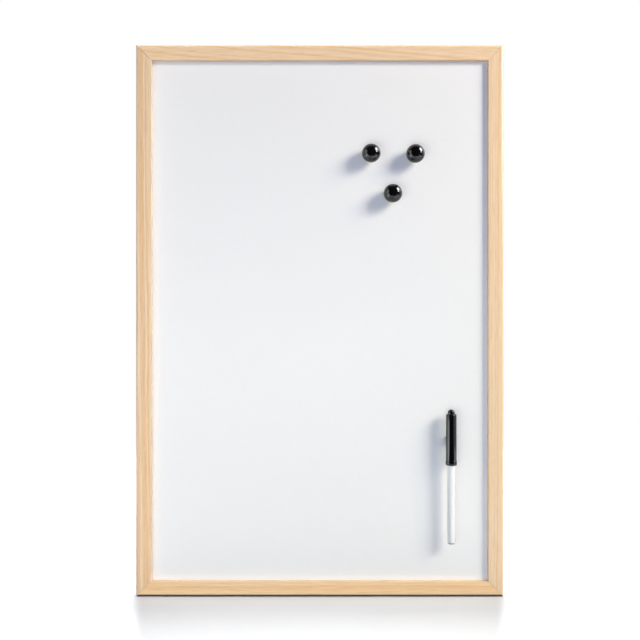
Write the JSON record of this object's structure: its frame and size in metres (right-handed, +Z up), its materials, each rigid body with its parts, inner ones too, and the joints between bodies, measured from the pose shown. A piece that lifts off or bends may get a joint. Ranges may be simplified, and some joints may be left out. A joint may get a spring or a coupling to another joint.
{
  "type": "magnetic memo board",
  "caption": "Upright magnetic memo board: white lacquered steel in a mitred pine frame, with ball magnets and a capped marker that lift off.",
  "frame": {"origin": "hang point: the middle notch of the top hanger, on the plane of the frame's back", "axes": "+Z up along the board's height, +X to the viewer's right, +Y into the wall, so the writing surface faces -Y"},
  "size_m": [0.4, 0.0349, 0.6001],
  "materials": {
    "pine": "planed and clear lacquered pine",
    "white_lacquer": "gloss white lacquered sheet steel",
    "hardboard": "brown pressed hardboard",
    "zinc_steel": "bright zinc plated steel",
    "brassed_steel": "brass plated steel strip",
    "nickel": "nickel plated magnet",
    "black_plastic": "polished black moulded plastic",
    "white_plastic": "gloss white moulded plastic",
    "grey_plastic": "satin grey moulded plastic",
    "felt": "inked pressed felt",
    "ink_fibre": "inked fibre wick"
  },
  "bodies": {
    "board": {"rail_top": "pine", "rail_bottom": "pine", "stile_left": "pine", "stile_right": "pine", "rail_top_tab_1": "zinc_steel", "rail_top_tab_2": "zinc_steel", "rail_bottom_tab_1": "zinc_steel", "rail_bottom_tab_2": "zinc_steel", "stile_left_tab_1": "zinc_steel", "stile_left_tab_2": "zinc_steel", "stile_left_tab_3": "zinc_steel", "stile_right_tab_1": "zinc_steel", "stile_right_tab_2": "zinc_steel", "stile_right_tab_3": "zinc_steel", "v_nail_top_left_1": "zinc_steel", "v_nail_top_left_2": "zinc_steel", "v_nail_top_right_1": "zinc_steel", "v_nail_top_right_2": "zinc_steel", "v_nail_bottom_left_1": "zinc_steel", "v_nail_bottom_left_2": "zinc_steel", "v_nail_bottom_right_1": "zinc_steel", "v_nail_bottom_right_2": "zinc_steel", "hanger_top": "brassed_steel", "hanger_top_nail_1": "zinc_steel", "hanger_top_nail_2": "zinc_steel", "hanger_side": "brassed_steel", "hanger_side_nail_1": "zinc_steel", "hanger_side_nail_2": "zinc_steel", "steel_sheet": "white_lacquer", "backing_board": "hardboard"},
    "magnet_1": {"magnet_1_ball": "black_plastic", "magnet_1_disc": "nickel"},
    "magnet_2": {"magnet_2_ball": "black_plastic", "magnet_2_disc": "nickel"},
    "magnet_3": {"magnet_3_ball": "black_plastic", "magnet_3_disc": "nickel"},
    "marker": {"marker_barrel": "white_plastic", "marker_end_plug": "grey_plastic", "marker_nose": "grey_plastic", "marker_nib": "felt", "marker_reservoir": "ink_fibre"},
    "cap": {"marker_cap": "black_plastic", "marker_cap_magnet": "nickel"}
  },
  "joints": [
    {"name": "magnet_1_lift", "type": "slide", "parent": "board", "child": "magnet_1", "axis": [0, -1, 0], "range_m": [0, 0.06]},
    {"name": "magnet_2_lift", "type": "slide", "parent": "board", "child": "magnet_2", "axis": [0, -1, 0], "range_m": [0, 0.06]},
    {"name": "magnet_3_lift", "type": "slide", "parent": "board", "child": "magnet_3", "axis": [0, -1, 0], "range_m": [0, 0.06]},
    {"name": "marker_lift", "type": "slide", "parent": "board", "child": "marker", "axis": [0, -1, 0], "range_m": [0, 0.06]},
    {"name": "cap_pull", "type": "slide", "parent": "marker", "child": "cap", "axis": [0, 0, 1], "range_m": [0, 0.065]}
  ]
}
